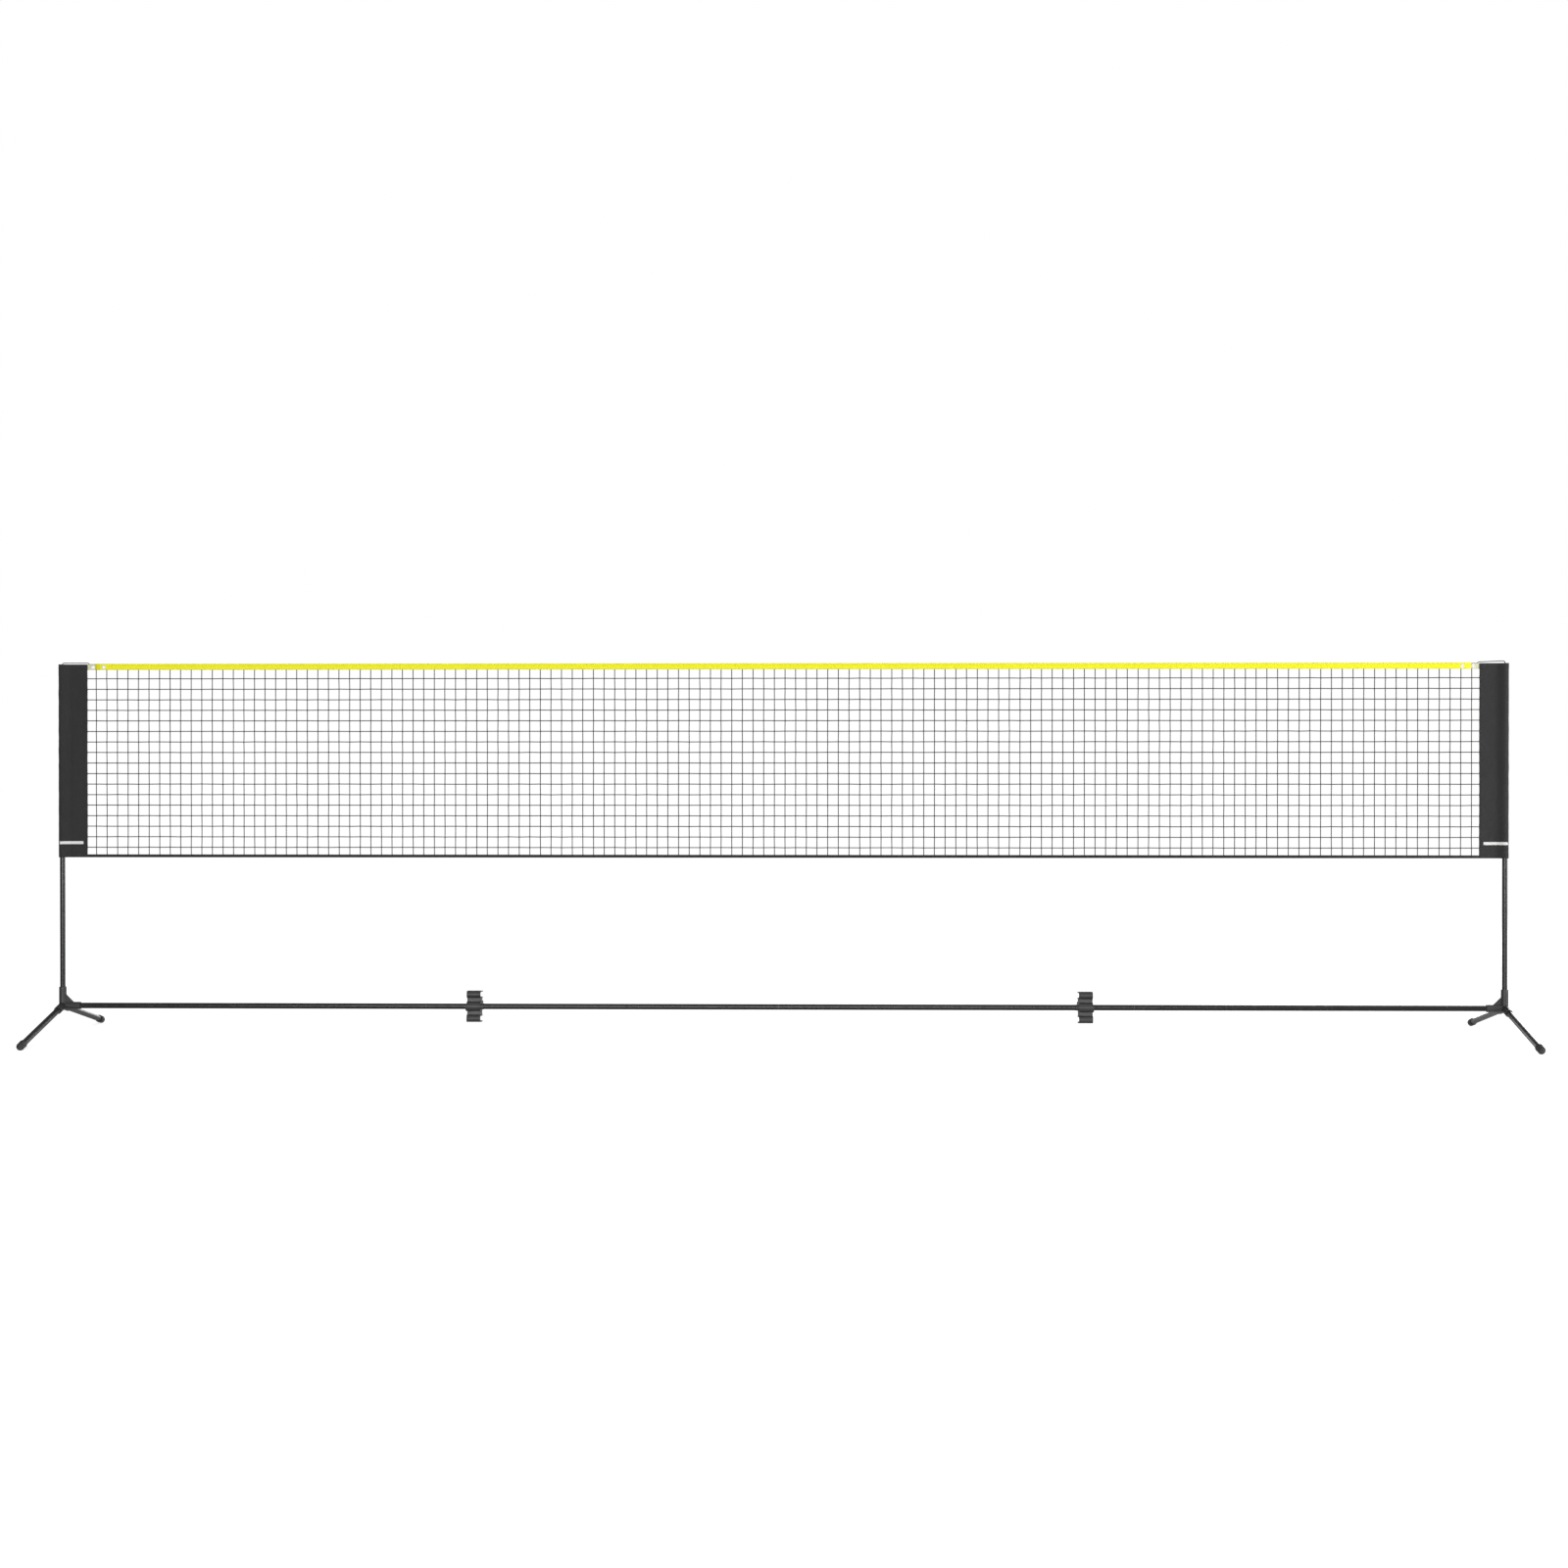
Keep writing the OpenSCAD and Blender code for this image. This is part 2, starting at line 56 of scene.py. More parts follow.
LEFT, RIGHT = -1, 1
SIDE_NAMES = {LEFT: "left", RIGHT: "right"}
TURN = 2 * math.pi
BACKWARDS = np.array((0.0, 1.0, 0.0))

# Places read from the CAD frame. X from the post is counted inwards, towards the net's middle.
POST_X = (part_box("right_lower_post")[0].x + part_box("right_lower_post")[1].x) / 2
SLEEVE_LOW, SLEEVE_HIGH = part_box("left_sleeve")
POCKET_R = -POST_X - SLEEVE_LOW.x
SLEEVE_IN = POST_X + SLEEVE_HIGH.x
TAPE_LOW, TAPE_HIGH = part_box("head_tape")
HEM_LOW, HEM_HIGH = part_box("foot_tape")
NET_LOW, NET_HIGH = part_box("net_mesh")
EYELETS_LOW, EYELETS_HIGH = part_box("eyelets")
HEAD_CORD_LOW, HEAD_CORD_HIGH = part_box("head_cord")
CORD_R = (HEAD_CORD_HIGH.z - HEAD_CORD_LOW.z) / 2
CHANNEL_Z = (HEAD_CORD_HIGH.z + HEAD_CORD_LOW.z) / 2
FOLD_R = TAPE_HIGH.z - CHANNEL_Z


def smooth(t):
    """0 before 0, 1 after 1, and a soft step between them."""
    t = np.clip(t, 0, 1)
    return t * t * (3 - 2 * t)


# Materials


def node(tree, kind, inputs=None, **settings):
    """A new shader node, its inputs linked where given a socket and set where given a value."""
    made = tree.nodes.new("ShaderNode" + kind)
    for key, value in settings.items():
        setattr(made, key, value)
    for key, value in (inputs or {}).items():
        if isinstance(value, bpy.types.NodeSocket):
            tree.links.new(value, made.inputs[key])
        else:
            made.inputs[key].default_value = value
    return made


def calc(tree, operation, *values, clamp=False):
    made = node(tree, "Math", dict(enumerate(values)), operation=operation, use_clamp=clamp)
    return made.outputs[0]


def noise(tree, place, scale, detail=3.0, rough=0.55):
    inputs = {"Vector": place, "Scale": scale, "Detail": detail, "Roughness": rough}
    return node(tree, "TexNoise", inputs).outputs["Fac"]


def ramp(tree, factor, low, high, start=0.3, end=0.7):
    """A colour that goes from low to high as factor goes from start to end."""
    made = node(tree, "ValToRGB", {"Fac": factor})
    stops = made.color_ramp.elements
    stops[0].position, stops[1].position = start, end
    stops[0].color, stops[1].color = (*low, 1), (*high, 1)
    return made.outputs["Color"]


def blend_colour(tree, factor, low, high):
    made = node(tree, "MixRGB", {"Fac": factor, "Color1": low, "Color2": high})
    return made.outputs["Color"]


def spread(tree, factor, low, high):
    """factor, from 0 to 1, laid over the range from low to high."""
    made = node(tree, "MapRange", {"Value": factor, "To Min": low, "To Max": high})
    return made.outputs["Result"]


def started(name):
    """A new material, its node tree and its shader."""
    mat = bpy.data.materials.new(name)
    mat.use_nodes = True
    return mat, mat.node_tree, mat.node_tree.nodes["Principled BSDF"]


def finished(mat, tree, shader, colour, rough, height, depth):
    """Joins colour, roughness and a bump of that depth, in metres, to the shader."""
    bump = node(tree, "Bump", {"Height": height, "Distance": depth, "Strength": 1.0})
    tree.links.new(colour, shader.inputs["Base Color"])
    tree.links.new(rough, shader.inputs["Roughness"])
    tree.links.new(bump.outputs["Normal"], shader.inputs["Normal"])
    return mat


EDGE_R = 0.0011
RUBBED_SHARE = 0.7
RUBBED_ROUGHER = 0.1
ROUGH_SPREAD = 0.08
DUST_TOP = 0.014
DUST_COLOUR = (0.22, 0.20, 0.17, 1)


def edge_mask(tree, place, radius):
    """Near 1 in patches along sharp outside edges, where handling rubs the surface."""
    rounded = node(tree, "Bevel", {"Radius": radius}, samples=4).outputs["Normal"]
    flat = node(tree, "NewGeometry").outputs["Normal"]
    same = node(tree, "VectorMath", {0: rounded, 1: flat}, operation="DOT_PRODUCT").outputs["Value"]
    turned = calc(tree, "MULTIPLY", calc(tree, "SUBTRACT", 1.0, same), 5.0, clamp=True)
    patches = spread(tree, noise(tree, place, 160.0), -0.6, 1.4)
    return calc(tree, "MULTIPLY", turned, patches, clamp=True)


def hard_finish(name, dark, light, rough, grain, depth, worn, metallic=0.0, dusty=False):
    """Coated metal, moulded plastic or rubber: soft patches of colour, a fine grain and rubbed edges."""
    mat, tree, shader = started(name)
    place = node(tree, "TexCoord").outputs["Object"]
    patches = noise(tree, place, 9.0, detail=6.0)
    fine = noise(tree, place, grain, detail=2.0)
    colour = ramp(tree, patches, dark, light)
    rubbed = edge_mask(tree, place, EDGE_R)
    colour = blend_colour(tree, calc(tree, "MULTIPLY", rubbed, RUBBED_SHARE), colour, (*worn, 1))
    if dusty:
        height = node(tree, "SeparateXYZ", {0: place}).outputs["Z"]
        near_floor = calc(tree, "SUBTRACT", 1.0, calc(tree, "DIVIDE", height, DUST_TOP), clamp=True)
        specks = spread(tree, noise(tree, place, 240.0), -0.2, 0.9)
        dust = calc(tree, "MULTIPLY", near_floor, specks, clamp=True)
        colour = blend_colour(tree, dust, colour, DUST_COLOUR)
    scuffs = noise(tree, place, 55.0, detail=4.0)
    scuffed = spread(tree, scuffs, rough - ROUGH_SPREAD, rough + ROUGH_SPREAD)
    rough_now = calc(tree, "ADD", scuffed, calc(tree, "MULTIPLY", rubbed, RUBBED_ROUGHER))
    shader.inputs["Metallic"].default_value = metallic
    return finished(mat, tree, shader, colour, rough_now, fine, depth)


THREAD_ROUGH = 0.1


def woven(name, dark, light, pitch, rough, depth, sheen=0.0):
    """Plain-woven cloth, its threads crossing in turn, in UVs that are in metres."""
    mat, tree, shader = started(name)
    place = node(tree, "UVMap", uv_map="UVMap").outputs["UV"]
    inputs = {0: place, 1: (1 / pitch, 1 / pitch, 0), 2: (0, 0, 0.5)}
    threads = node(tree, "VectorMath", inputs, operation="MULTIPLY_ADD").outputs["Vector"]
    parts = node(tree, "SeparateXYZ", {0: threads})
    rise = [
        calc(tree, "ABSOLUTE", calc(tree, "SINE", calc(tree, "MULTIPLY", parts.outputs[axis], math.pi)))
        for axis in ("X", "Y")
    ]
    turn = node(tree, "TexChecker", {"Vector": threads, "Scale": 1.0}).outputs["Fac"]
    height = node(tree, "Mix", {0: turn, 2: rise[0], 3: rise[1]}).outputs[0]
    slubs = noise(tree, place, 260.0, detail=4.0)
    fading = noise(tree, node(tree, "TexCoord").outputs["Object"], 5.0, detail=5.0)
    tone = calc(tree, "ADD", calc(tree, "MULTIPLY", height, 0.45), calc(tree, "MULTIPLY", slubs, 0.4))
    tone = calc(tree, "ADD", tone, calc(tree, "MULTIPLY", fading, 0.3))
    colour = ramp(tree, tone, dark, light, 0.25, 0.9)
    shader.inputs["Sheen Weight"].default_value = sheen
    shader.inputs["Sheen Roughness"].default_value = 0.4
    shader.inputs["Specular IOR Level"].default_value = 0.35
    rough_now = spread(tree, slubs, rough - THREAD_ROUGH, rough + THREAD_ROUGH)
    return finished(mat, tree, shader, colour, rough_now, height, depth)


def laid_rope(name, dark, light, lay, strands, rough, depth):
    """Strands twisted together, in UVs that go once round the cord and, in metres, along it."""
    mat, tree, shader = started(name)
    parts = node(tree, "SeparateXYZ", {0: node(tree, "UVMap", uv_map="UVMap").outputs["UV"]})
    along = calc(tree, "DIVIDE", parts.outputs["Y"], lay)
    phase = calc(tree, "ADD", calc(tree, "MULTIPLY", parts.outputs["X"], float(strands)), along)
    height = calc(tree, "ABSOLUTE", calc(tree, "SINE", calc(tree, "MULTIPLY", phase, math.pi)))
    place = node(tree, "TexCoord").outputs["Object"]
    fuzz = noise(tree, place, 900.0, detail=3.0)
    tone = calc(tree, "ADD", calc(tree, "MULTIPLY", height, 0.5), calc(tree, "MULTIPLY", fuzz, 0.5))
    colour = ramp(tree, tone, dark, light, 0.2, 0.9)
    rough_now = spread(tree, fuzz, rough - THREAD_ROUGH, rough + THREAD_ROUGH)
    return finished(mat, tree, shader, colour, rough_now, height, depth)


POWDER = hard_finish(
    "powder_coat",
    dark=(0.006, 0.006, 0.0065),
    light=(0.012, 0.012, 0.013),
    rough=0.25,
    grain=1500.0,
    depth=0.000014,
    worn=(0.11, 0.11, 0.12),
)
PLASTIC = hard_finish(
    "moulded_plastic",
    dark=(0.026, 0.026, 0.028),
    light=(0.042, 0.042, 0.044),
    rough=0.42,
    grain=2600.0,
    depth=0.00005,
    worn=(0.13, 0.13, 0.13),
)
RUBBER = hard_finish(
    "foot_rubber",
    dark=(0.025, 0.025, 0.026),
    light=(0.05, 0.05, 0.05),
    rough=0.68,
    grain=1900.0,
    depth=0.00009,
    worn=(0.1, 0.1, 0.1),
    dusty=True,
)
STEEL = hard_finish(
    "zinc_plate",
    dark=(0.52, 0.53, 0.55),
    light=(0.68, 0.69, 0.7),
    rough=0.3,
    grain=1100.0,
    depth=0.00002,
    worn=(0.8, 0.8, 0.82),
    metallic=1.0,
)
ENAMEL = hard_finish(
    "white_enamel",
    dark=(0.8, 0.8, 0.78),
    light=(0.88, 0.88, 0.86),
    rough=0.25,
    grain=700.0,
    depth=0.00002,
    worn=(0.6, 0.6, 0.58),
)
SLEEVE_CLOTH = woven(
    "oxford_black",
    dark=(0.011, 0.011, 0.012),
    light=(0.034, 0.034, 0.036),
    pitch=0.0009,
    rough=0.7,
    depth=0.00022,
    sheen=0.1,
)
HEM_CLOTH = woven(
    "hem_black",
    dark=(0.006, 0.006, 0.0065),
    light=(0.018, 0.018, 0.019),
    pitch=0.0008,
    rough=0.65,
    depth=0.0002,
    sheen=0.1,
)
YELLOW_CLOTH = woven(
    "tape_yellow",
    dark=(0.9, 0.87, 0.004),
    light=(0.99, 0.97, 0.012),
    pitch=0.0009,
    rough=0.6,
    depth=0.00012,
)
CREAM_CLOTH = woven(
    "tape_cream",
    dark=(0.66, 0.66, 0.42),
    light=(0.8, 0.8, 0.56),
    pitch=0.0008,
    rough=0.65,
    depth=0.00015,
)
LABEL_CLOTH = woven(
    "label_white",
    dark=(0.72, 0.72, 0.71),
    light=(0.88, 0.88, 0.87),
    pitch=0.0004,
    rough=0.5,
    depth=0.00008,
)
TWINE = laid_rope(
    "net_twine",
    dark=(0.006, 0.006, 0.0065),
    light=(0.018, 0.018, 0.019),
    lay=0.009,
    strands=3,
    rough=0.55,
    depth=0.0003,
)
BRAID = laid_rope(
    "braided_cord",
    dark=(0.02, 0.02, 0.021),
    light=(0.06, 0.06, 0.062),
    lay=0.002,
    strands=8,
    rough=0.6,
    depth=0.0001,
)
YELLOW_THREAD = laid_rope(
    "thread_yellow",
    dark=(0.62, 0.58, 0.01),
    light=(0.8, 0.76, 0.02),
    lay=0.001,
    strands=2,
    rough=0.5,
    depth=0.0001,
)
BLACK_THREAD = laid_rope(
    "thread_black",
    dark=(0.02, 0.02, 0.02),
    light=(0.05, 0.05, 0.05),
    lay=0.001,
    strands=2,
    rough=0.5,
    depth=0.0001,
)

RAIL_TUBES = ("rail_left_outer", "rail_left_inner", "rail_right_inner", "rail_right_outer")
NODE_FINISHES = (
    (POWDER, ("_leg", "_post", *RAIL_TUBES)),
    (PLASTIC, ("_hub", "_collar", "_cap", "_glide", "_clip")),
    (RUBBER, ("_foot",)),
    (STEEL, ("_button", "_springs", "rail_joiners")),
    (ENAMEL, ("eyelets",)),
    (BRAID, ("head_cord",)),
)


def paint_frame():
    """Gives every CAD node that stays in view its material."""
    for name, part in frame["nodes"].items():
        for finish, endings in NODE_FINISHES:
            if name.endswith(endings):
                part.data.materials.clear()
                part.data.materials.append(finish)


# Mesh building


def placed(name, data):
    """A new object of that name in the scene, made of data."""
    obj = bpy.data.objects.new(name, data)
    bpy.context.scene.collection.objects.link(obj)
    return obj


class Builder:
    """Gathers faces of three or four corners, with UVs, and turns them into one smooth mesh object."""

    def __init__(self):
        self.points, self.faces, self.uvs, self.count = [], [], [], 0

    def add(self, points, faces, uvs=None):
        """points is N x 3. faces, and uvs if there are any, are lists of arrays that match."""
        for i, corners in enumerate(faces):
            self.faces.extend((corners + self.count).tolist())
            given = np.zeros((*corners.shape, 2)) if uvs is None else uvs[i]
            self.uvs.append(given.reshape(-1, 2))
        self.points.append(points.reshape(-1, 3))
        self.count += self.points[-1].shape[0]

    def grid(self, points, u, v, closed=False, flip=False):
        """points is rows x columns x 3. u has a value for each column, and one more when closed.

        v has a value for each row.
        """
        rows, columns = points.shape[:2]
        index = np.arange(rows * columns).reshape(rows, columns)
        if closed:
            index = np.concatenate([index, index[:, :1]], axis=1)
        corner = np.stack([np.tile(u, (rows, 1)), np.tile(np.array(v)[:, None], (1, len(u)))], axis=2)

        def around(a):
            four = [a[:-1, :-1], a[:-1, 1:], a[1:, 1:], a[1:, :-1]]
            return four[::-1] if flip else four

        quads = np.stack(around(index), axis=2).reshape(-1, 4)
        uvs = np.stack(around(corner), axis=2).reshape(-1, 4, 2)
        self.add(points, [quads], [uvs])

    def tube(self, rings, v):
        """A closed tube with flat ends through rings, rows x sides x 3, that turn rightwards along it."""
        sides = rings.shape[1]
        start = self.count
        self.grid(rings, np.linspace(0, 1, sides + 1), v, closed=True)
        around = np.arange(sides)
        following = np.roll(around, -1)
        for row, first, second in ((0, following, around), (rings.shape[0] - 1, around, following)):
            centre = self.count - start
            fan = np.stack([np.full(sides, centre), row * sides + first, row * sides + second], axis=1)
            self.add(rings[row].mean(0)[None], [fan - centre])

    def copies(self, points, faces):
        """points is copies x points x 3, and faces are those of one copy."""
        many, each = points.shape[:2]
        shift = (np.arange(many) * each)[:, None, None]
        self.add(points, [(f[None] + shift).reshape(-1, f.shape[1]) for f in faces])

    def make(self, name, finish):
        mesh = bpy.data.meshes.new(name)
        mesh.from_pydata(np.concatenate(self.points).tolist(), [], self.faces)
        layer = mesh.uv_layers.new(name="UVMap")
        layer.data.foreach_set("uv", np.concatenate(self.uvs).ravel())
        mesh.shade_smooth()
        mesh.materials.append(finish)
        return placed(name, mesh)


def circle(sides):
    """The cosines and sines of even turns round a circle."""
    angle = TURN * np.arange(sides) / sides
    return np.cos(angle), np.sin(angle)


def mount(obj, slot, *nodes):
    """obj rides with the raised net and stands for the CAD nodes, which it hides. slot is not used."""
    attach(obj, "lift")
    if nodes:
        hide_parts(*nodes)
    return obj


def thicken(obj, thickness, offset):
    """Gives a sheet its thickness: half to either side at offset 0, and all of it to one side at -1."""
    made = obj.modifiers.new("thickness", "SOLIDIFY")
    made.thickness = thickness
    made.offset = offset
    made.use_even_offset = True
    return obj


# A stitch is full width up to this share of its length to either side of its middle
STITCH_BODY = 0.34
THREAD_R = 0.00035
STITCH_PITCH = 0.004


def stitches(builder, places, along, out, length, radius):
    """Short threads lying half sunk in the cloth, one at each place, with out pointing off the cloth."""
    across = np.cross(along, out)
    across /= np.linalg.norm(across, axis=1, keepdims=True)
    points = [places - along * length * 0.5]
    for share in (-STITCH_BODY, STITCH_BODY):
        for angle in np.arange(4) * TURN / 4:
            offset = across * math.cos(angle) - out * math.sin(angle)
            points.append(places + along * length * share + offset * radius)
    points.append(places + along * length * 0.5)
    k = np.arange(4)
    following = (k + 1) % 4
    near = np.stack([np.zeros(4, int), 1 + following, 1 + k], axis=1)
    quads = np.stack([1 + k, 1 + following, 5 + following, 5 + k], axis=1)
    far = np.stack([np.full(4, 9), 5 + k, 5 + following], axis=1)
    builder.copies(np.stack(points, axis=1), [near, quads, far])


# The net: upright and level cords that cross in knots

TWINE_R = 0.0019
TWINE_SIDES = 6
MESH_PITCH_X = 0.04485
NET_MIDDLE_X = 0.003
UPRIGHTS = 130
LEVELS = 17
TOP_LEVEL_Z = 1.5122
BOTTOM_LEVEL_Z = 0.7995
LEVEL_PITCH = (TOP_LEVEL_Z - BOTTOM_LEVEL_Z) / (LEVELS - 1)
TUCK = 0.0015
LOOSE = 0.0004
CROSS_DEPTH = 0.0013
# A cord's bend aside at a knot: steps along it from the knot, and the share of CROSS_DEPTH at each
KNOT_BENDS = ((-0.004, 0.6), (0.0, 1.0), (0.004, 0.6))
# The same share halfway between two knots
BETWEEN_BEND = 0.25
KNOT_R = 0.0026
KNOT_SIDES = 7
KNOT_CORD_R = 0.001
KNOT_CORD_SIDES = 5
KNOT_LEAN = 0.25


def knot_places():
    """Where the cords cross, level cords by upright ones, each a little off its place."""
    rng = np.random.default_rng(11)
    x = NET_MIDDLE_X + (np.arange(UPRIGHTS) - (UPRIGHTS - 1) / 2) * MESH_PITCH_X
    z = np.linspace(TOP_LEVEL_Z, BOTTOM_LEVEL_Z, LEVELS)
    grid_x, grid_z = np.meshgrid(x, z)
    places = np.stack([grid_x, np.zeros_like(grid_x), grid_z], axis=2)
    return places + rng.uniform(-LOOSE, LOOSE, places.shape) * (1, 0.6, 1)


def strung(knots, first, last, along, depth):
    """One cord's line from first through its knots to last, bent to one side of the cords it crosses."""
    line, bent = [first], [0.0]
    for i, knot in enumerate(knots):
        if i:
            line.append((line[-1] + knot) / 2)
            bent.append(BETWEEN_BEND)
        for step, share in KNOT_BENDS:
            line.append(knot + along * step)
            bent.append(share)
    line.append(last)
    bent.append(0.0)
    line = np.array(line)
    line[:, 1] += np.array(bent) * depth
    return line


def net_cords(name, knots, first, last, along, depth):
    """One mesh with every cord of one direction."""
    builder = Builder()
    along = np.array(along, float)
    across = np.cross(BACKWARDS, along)
    cos, sin = circle(TWINE_SIDES)
    ring = cos[:, None] * across + sin[:, None] * BACKWARDS
    for row, start, end in zip(knots, first, last, strict=True):
        line = strung(row, start, end, along, depth)
        rings = line[:, None] + TWINE_R * ring
        builder.tube(rings, (line - line[0]) @ along)
    return mount(builder.make(name, TWINE), "net_cord", "net_mesh")


def net_knots(places):
    """A turn of cord round each crossing, leaning one way and then the other."""
    cos_a, sin_a = circle(KNOT_SIDES)
    cos_b, sin_b = circle(KNOT_CORD_SIDES)
    reach = (KNOT_R + KNOT_CORD_R * cos_b)[None, :]
    rng = np.random.default_rng(12)
    flat = places.reshape(-1, 3)
    rows, columns = np.indices(places.shape[:2])
    way = np.where((rows + columns).ravel() % 2, 1, -1)
    lean = way * TURN / 8 + rng.uniform(-KNOT_LEAN, KNOT_LEAN, len(flat))
    slope = np.stack([np.cos(lean), np.zeros(len(flat)), np.sin(lean)], axis=1)
    axis = np.stack([-np.sin(lean), np.zeros(len(flat)), np.cos(lean)], axis=1)
    round_it, deep = (cos_a[:, None] * reach).ravel(), (sin_a[:, None] * reach).ravel()
    out = np.tile(KNOT_CORD_R * sin_b, KNOT_SIDES)
    points = flat[:, None] + round_it[None, :, None] * slope[:, None] + out[None, :, None] * axis[:, None]
    points[:, :, 1] += deep
    index = np.arange(KNOT_SIDES * KNOT_CORD_SIDES).reshape(KNOT_SIDES, KNOT_CORD_SIDES)
    nexts = np.roll(index, -1, axis=0)
    quads = np.stack([index, np.roll(index, -1, axis=1), np.roll(nexts, -1, axis=1), nexts], axis=2)
    builder = Builder()
    builder.copies(points, [quads.reshape(-1, 4)])
    return mount(builder.make("net_knots", TWINE), "net_cord", "net_mesh")


def build_net():
    """The upright cords, the level ones and the knots, with the cords' ends tucked into tapes and sleeves."""
    places = knot_places()
    top, bottom = places[0].copy(), places[-1].copy()
    top[:, 1:] = (0, NET_HIGH.z + TUCK)
    bottom[:, 1:] = (0, NET_LOW.z - TUCK)
    net_cords("net_uprights", places.transpose(1, 0, 2), top, bottom, (0, 0, -1), -CROSS_DEPTH)
    starts, ends = places[:, 0].copy(), places[:, -1].copy()
    starts[:, 0], ends[:, 0] = NET_LOW.x - TUCK, NET_HIGH.x + TUCK
    starts[:, 1] = ends[:, 1] = 0
    net_cords("net_levels", places, starts, ends, (1, 0, 0), CROSS_DEPTH)
    net_knots(places)


# The tapes along the net's top and foot

LAYER_T = 0.0007
EYELET_X = POST_X + EYELETS_LOW.x + (EYELETS_HIGH.z - EYELETS_LOW.z) / 2
EYELET_PITCH = 0.045
EYELET_Z = (EYELETS_LOW.z + EYELETS_HIGH.z) / 2
# Round an eyelet's middle: the tape's hole, the gap in its stitches, and the part of it with a finer mesh
EYELET_CUT = 0.0066
EYELET_CLEAR = 0.0105
EYELET_NEAR = 0.011
EYELET_STEP = 0.0022
TAPE_STEP = 0.03
SEAM_GAP = 0.0003
FLAT_Y = HEM_HIGH.y
NECK = 0.006
# Stitch rows: in from a tape's or band's edge, below the cord's channel, and in from the hem's top edge
EDGE_ROW = 0.003
CORD_ROW_Z = CHANNEL_Z - 0.0055
HEM_ROW = 0.0028
TAB_STEP = 0.003
TAB_STITCH_PITCH = 0.0032
TAB_FOLD_R = FOLD_R * 0.9


def fold_profile():
    """The head tape's outline from its front bottom edge over the cord to its back one, as y and z."""
    neck_z = CHANNEL_Z - NECK
    flat = [(-FLAT_Y, z) for z in np.linspace(TAPE_LOW.z, neck_z, 9)]
    swell = []
    for t in (0.25, 0.5, 0.75, 1.0):
        swell.append((-FLAT_Y - (FOLD_R - FLAT_Y) * smooth(t), neck_z + NECK * t))
    over = []
    for a in np.linspace(0, math.pi, 13)[1:-1]:
        over.append((-FOLD_R * math.cos(a), CHANNEL_Z + FOLD_R * math.sin(a)))
    front = flat + swell
    return np.array(front + over + [(-y, z) for y, z in front[::-1]])


def folded_under(front, low):
    """The outline that goes down front, turns under at that height and comes up the same way behind."""
    under = []
    for a in np.linspace(0, math.pi, 7)[1:-1]:
        under.append((-FLAT_Y * math.cos(a), low + FLAT_Y * (1 - math.sin(a))))
    return np.array(front + under + [(-y, z) for y, z in front[::-1]])


def lengths(line):
    """How far along a line each of its points is."""
    steps = np.linalg.norm(np.diff(line, axis=0), axis=1)
    return np.concatenate([[0], np.cumsum(steps)])


def stations(low, high, coarse, spots=(), near=0.0, fine=1.0):
    """Even places from low to high, and finer ones within near of each spot."""
    marks = set(np.linspace(low, high, int((high - low) / coarse) + 1).round(5))
    for spot in spots:
        marks = {m for m in marks if abs(m - spot) > near or m in (round(low, 5), round(high, 5))}
        marks |= {m for m in np.arange(spot - near, spot + near, fine).round(5) if low < m < high}
    return np.array(sorted(marks))


def strip(name, finish, profile, xs, thickness, holes=()):
    """A folded strip along X with a y, z profile and round holes."""
    points = np.zeros((len(xs), len(profile), 3))
    points[:, :, 0] = xs[:, None]
    points[:, :, 1:] = profile
    builder = Builder()
    builder.grid(points, lengths(profile), xs, flip=True)
    obj = builder.make(name, finish)
    if holes:
        cut_holes(obj.data, holes)
    return thicken(obj, thickness, -1)


def cut_holes(mesh, holes):
    """Takes out the faces near each x, z place, where an eyelet's flange hides the ragged edge."""
    keep = []
    for face in mesh.polygons:
        x, _, z = face.center
        if all(math.hypot(x - a, z - b) > EYELET_CUT for a, b in holes):
            keep.append(face.index)
    points = [v.co[:] for v in mesh.vertices]
    faces = [tuple(mesh.polygons[i].vertices) for i in keep]
    layer = mesh.uv_layers[0].data
    uvs = [layer[k].uv[:] for i in keep for k in mesh.polygons[i].loop_indices]
    used = sorted({v for f in faces for v in f})
    index = {v: i for i, v in enumerate(used)}
    mesh.clear_geometry()
    mesh.from_pydata([points[v] for v in used], [], [[index[v] for v in f] for f in faces])
    again = mesh.uv_layers.new(name="UVMap")
    again.data.foreach_set("uv", np.array(uvs).ravel())
    mesh.shade_smooth()


def level_stitches(builder, x_low, x_high, z, pitch=STITCH_PITCH, holes=()):
    """A straight row of stitches along X on both faces of a tape, broken at its eyelets."""
    xs = np.arange(x_low + pitch, x_high - pitch, pitch)
    xs = np.array([x for x in xs if all(math.hypot(x - a, z - b) > EYELET_CLEAR for a, b in holes)])
    for face in (-1, 1):
        places = np.stack([xs, np.full(len(xs), face * FLAT_Y), np.full(len(xs), z)], axis=1)
        along = np.tile((1.0, 0.0, 0.0), (len(xs), 1))
        out = np.tile((0.0, float(face), 0.0), (len(xs), 1))
        stitches(builder, places, along, out, pitch * 0.8, THREAD_R)


